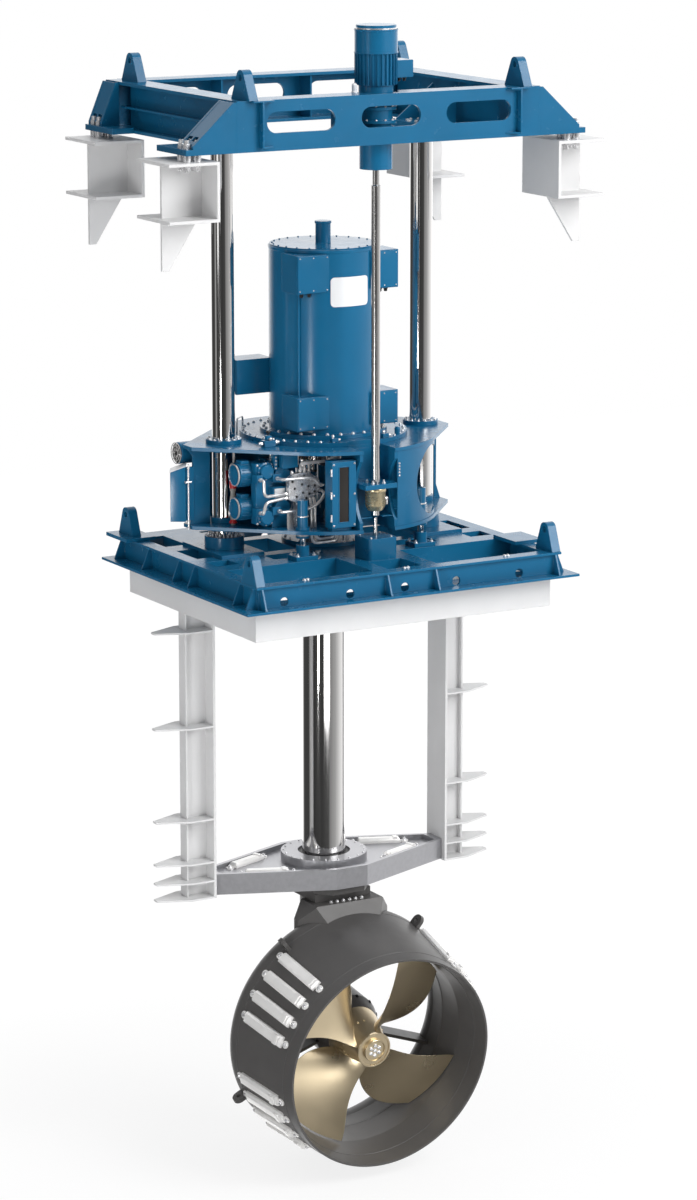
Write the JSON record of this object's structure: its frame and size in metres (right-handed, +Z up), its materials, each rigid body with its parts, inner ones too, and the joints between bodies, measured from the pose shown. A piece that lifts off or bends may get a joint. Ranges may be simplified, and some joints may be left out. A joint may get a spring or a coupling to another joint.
{
  "type": "azimuth thruster",
  "caption": "Retractable azimuth thruster: a ducted propeller on a steering stem, hung from a motor carriage that a spindle hoist moves along columns.",
  "frame": {"origin": "on the steering stem's axis, in the plane of the base frame's underside, which is the centre of the foundation bolts", "axes": "+Z up along the stem, +X along the front beam to its right, -Y towards the side of the hoist and of the nozzle's outlet"},
  "size_m": [4.06, 2.765, 9.6435],
  "materials": {
    "frame_paint": "semi gloss marine blue",
    "hull_paint": "satin pale grey",
    "machine_paint": "semi gloss blue",
    "polished_steel": "polished",
    "ground_steel": "ground",
    "zinc_steel": "zinc plated",
    "guide_casting": "machined grey",
    "nozzle_paint": "satin anthracite",
    "propeller_bronze": "polished bronze",
    "nut_bronze": "turned bronze",
    "anode_metal": "cast",
    "black_rubber": "matt",
    "dark_steel": "laminated"
  },
  "bodies": {
    "hull_structure": {"trunk_coaming": "hull_paint", "guide_rails": "hull_paint", "hull_brackets": "hull_paint", "base_bottom_flange": "frame_paint", "base_cross_beams": "frame_paint", "base_side_beams": "frame_paint", "base_inner_grillage": "frame_paint", "base_slabs": "frame_paint", "lifting_lugs": "frame_paint", "column_sockets": "frame_paint", "stem_seal_housing": "frame_paint", "spindle_foot_block": "frame_paint", "landing_feet": "frame_paint", "guide_columns": "polished_steel", "upper_cross_beams": "frame_paint", "upper_side_beams": "frame_paint", "corner_feet": "frame_paint", "foot_bolts": "zinc_steel", "hoist_gear_housing": "machine_paint", "hoist_motor": "machine_paint"},
    "spindle": {"hoist_spindle": "ground_steel"},
    "carriage": {"carriage_top_plate": "frame_paint", "carriage_bottom_plate": "frame_paint", "carriage_front_webs": "frame_paint", "carriage_side_webs": "frame_paint", "column_bushings": "frame_paint", "stem_bearings": "frame_paint", "steering_motors": "machine_paint", "motor_base_disc": "frame_paint", "main_motor_housing": "machine_paint", "main_motor_cover": "machine_paint", "main_motor_stator": "dark_steel", "motor_terminal_boxes": "machine_paint", "spindle_nut": "nut_bronze", "nut_bridge": "frame_paint", "pump_motors": "machine_paint", "pump_unit": "machine_paint", "hydraulic_manifold": "zinc_steel", "cabinets": "machine_paint", "lock_cylinders": "machine_paint"},
    "door": {"cabinet_door": "machine_paint"},
    "locks": {"lock_rods": "polished_steel"},
    "guide": {"guide_plate": "guide_casting", "guide_bush": "black_rubber", "guide_anodes": "anode_metal"},
    "steering_unit": {"steering_gear": "ground_steel", "stem_tube": "polished_steel", "shaft_bearings": "ground_steel", "gear_pod": "nozzle_paint", "nozzle": "nozzle_paint", "nozzle_supports": "nozzle_paint", "nozzle_anodes": "anode_metal"},
    "pinion_front": {"steering_pinion_front": "ground_steel"},
    "pinion_rear": {"steering_pinion_rear": "ground_steel"},
    "drive_line": {"main_motor_rotor": "dark_steel", "drive_shaft": "ground_steel"},
    "propulsor": {"crown_wheel": "ground_steel", "propeller_shaft": "ground_steel", "propeller": "propeller_bronze", "hub_cap": "propeller_bronze"}
  },
  "joints": [
    {"name": "hoist_slide", "type": "slide", "parent": "hull_structure", "child": "carriage", "axis": [0, 0, 1], "range_m": [0, 2.2]},
    {"name": "spindle_spin", "type": "hinge", "parent": "hull_structure", "child": "spindle", "pos_m": [0, -0.87, 0], "axis": [0, 0, 1], "continuous": true},
    {"name": "guide_slide", "type": "slide", "parent": "hull_structure", "child": "guide", "axis": [0, 0, 1], "range_m": [0, 2.2]},
    {"name": "steering", "type": "hinge", "parent": "carriage", "child": "steering_unit", "pos_m": [0, 0, 0.98], "axis": [0, 0, 1], "continuous": true},
    {"name": "front_pinion_spin", "type": "hinge", "parent": "carriage", "child": "pinion_front", "pos_m": [-0.14878, -0.40877, 0.98], "axis": [0, 0, 1], "continuous": true},
    {"name": "rear_pinion_spin", "type": "hinge", "parent": "carriage", "child": "pinion_rear", "pos_m": [0.14878, 0.40877, 0.98], "axis": [0, 0, 1], "continuous": true},
    {"name": "drive_shaft_spin", "type": "hinge", "parent": "steering_unit", "child": "drive_line", "pos_m": [0, 0, 1.9], "axis": [0, 0, 1], "continuous": true},
    {"name": "propeller_spin", "type": "hinge", "parent": "steering_unit", "child": "propulsor", "pos_m": [0, 0, -3.96], "axis": [0, -0.9903, -0.1392], "continuous": true},
    {"name": "cabinet_door_hinge", "type": "hinge", "parent": "carriage", "child": "door", "pos_m": [-0.42, -0.89, 0.76], "axis": [0, 0, -1], "range_deg": [0, 110]},
    {"name": "lock_rod_slide", "type": "slide", "parent": "carriage", "child": "locks", "axis": [0, 0, 1], "range_m": [0, 0.09]}
  ],
  "couplings": [
    {"joint": "spindle_spin", "follows": "hoist_slide", "rad_per_m": -157.08},
    {"joint": "guide_slide", "follows": "hoist_slide", "ratio": 1},
    {"joint": "front_pinion_spin", "follows": "steering", "ratio": -4.8},
    {"joint": "rear_pinion_spin", "follows": "steering", "ratio": -4.8},
    {"joint": "propeller_spin", "follows": "drive_shaft_spin", "ratio": 0.34211}
  ]
}
